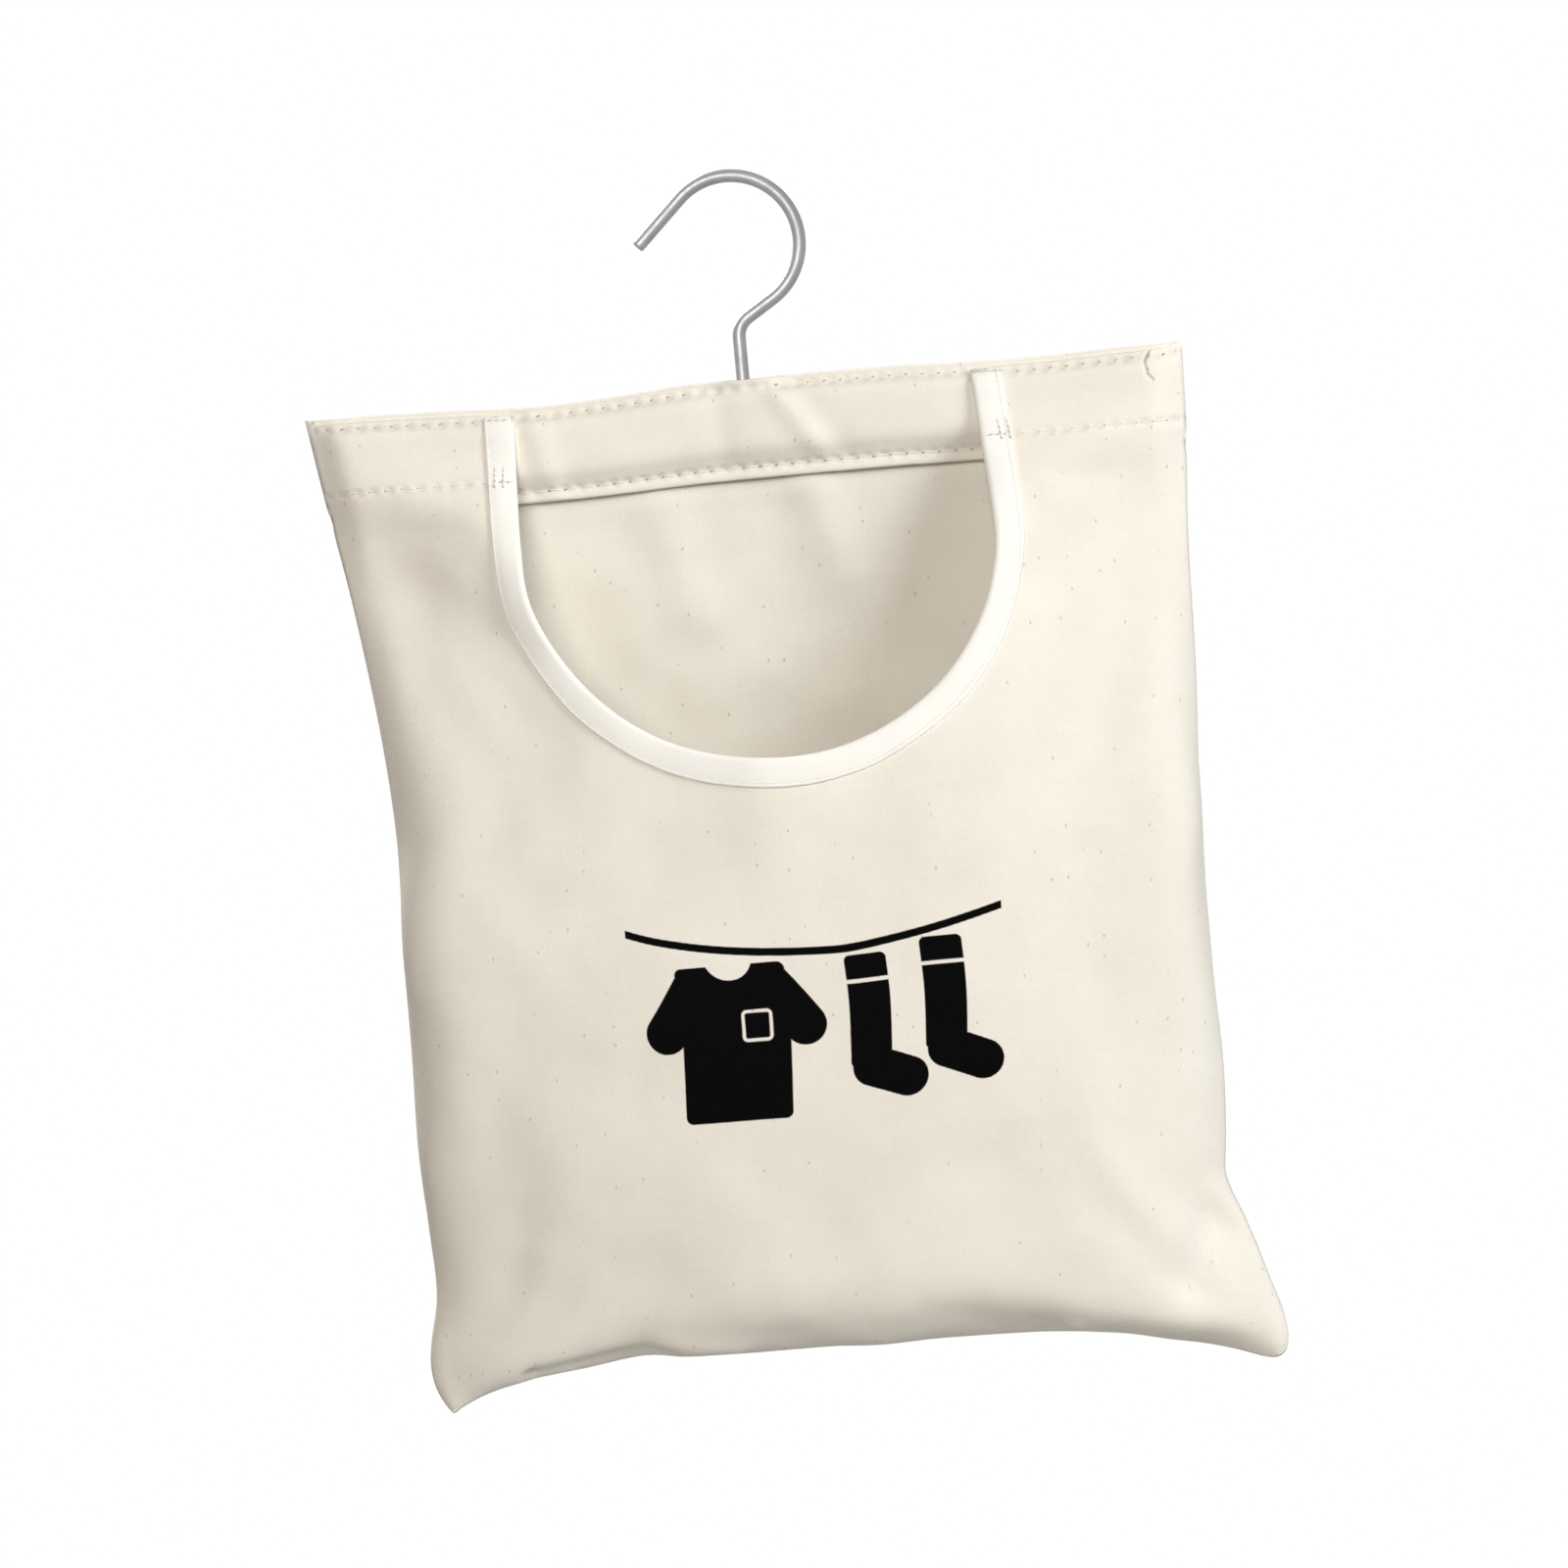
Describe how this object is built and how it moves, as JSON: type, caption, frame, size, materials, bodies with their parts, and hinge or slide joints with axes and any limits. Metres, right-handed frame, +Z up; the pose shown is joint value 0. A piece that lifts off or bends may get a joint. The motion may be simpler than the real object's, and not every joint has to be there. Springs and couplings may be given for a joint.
{
  "type": "peg bag",
  "caption": "Canvas pouch with a rounded front opening, hung from a wooden bar in its header by a swivelling steel wire hook.",
  "frame": {"origin": "inside of the hook's crown, where the hook rests on a line, on the vertical axis that the bag swivels about", "axes": "+Z up along the hook's shank, +X to the right seen from the front, the open front faces -Y"},
  "size_m": [0.2739, 0.0605, 0.3758],
  "materials": {
    "steel_wire": "bright nickel-plated steel wire, 4 mm",
    "wood": "plain sanded beech slat",
    "canvas": "unbleached plain-weave cotton canvas with dark flecks",
    "cotton_tape": "near-white cotton bias tape"
  },
  "bodies": {
    "hook": {"hook": "steel_wire", "hook_washer": "steel_wire"},
    "bag": {"hanger_bar": "wood", "back_panel": "canvas", "header_band": "canvas", "front_panel": "canvas", "opening_binding": "cotton_tape"}
  },
  "joints": [
    {"name": "hook_swivel", "type": "hinge", "parent": "hook", "child": "bag", "pos_m": [0, 0, 0], "axis": [0, 0, 1], "continuous": true}
  ]
}
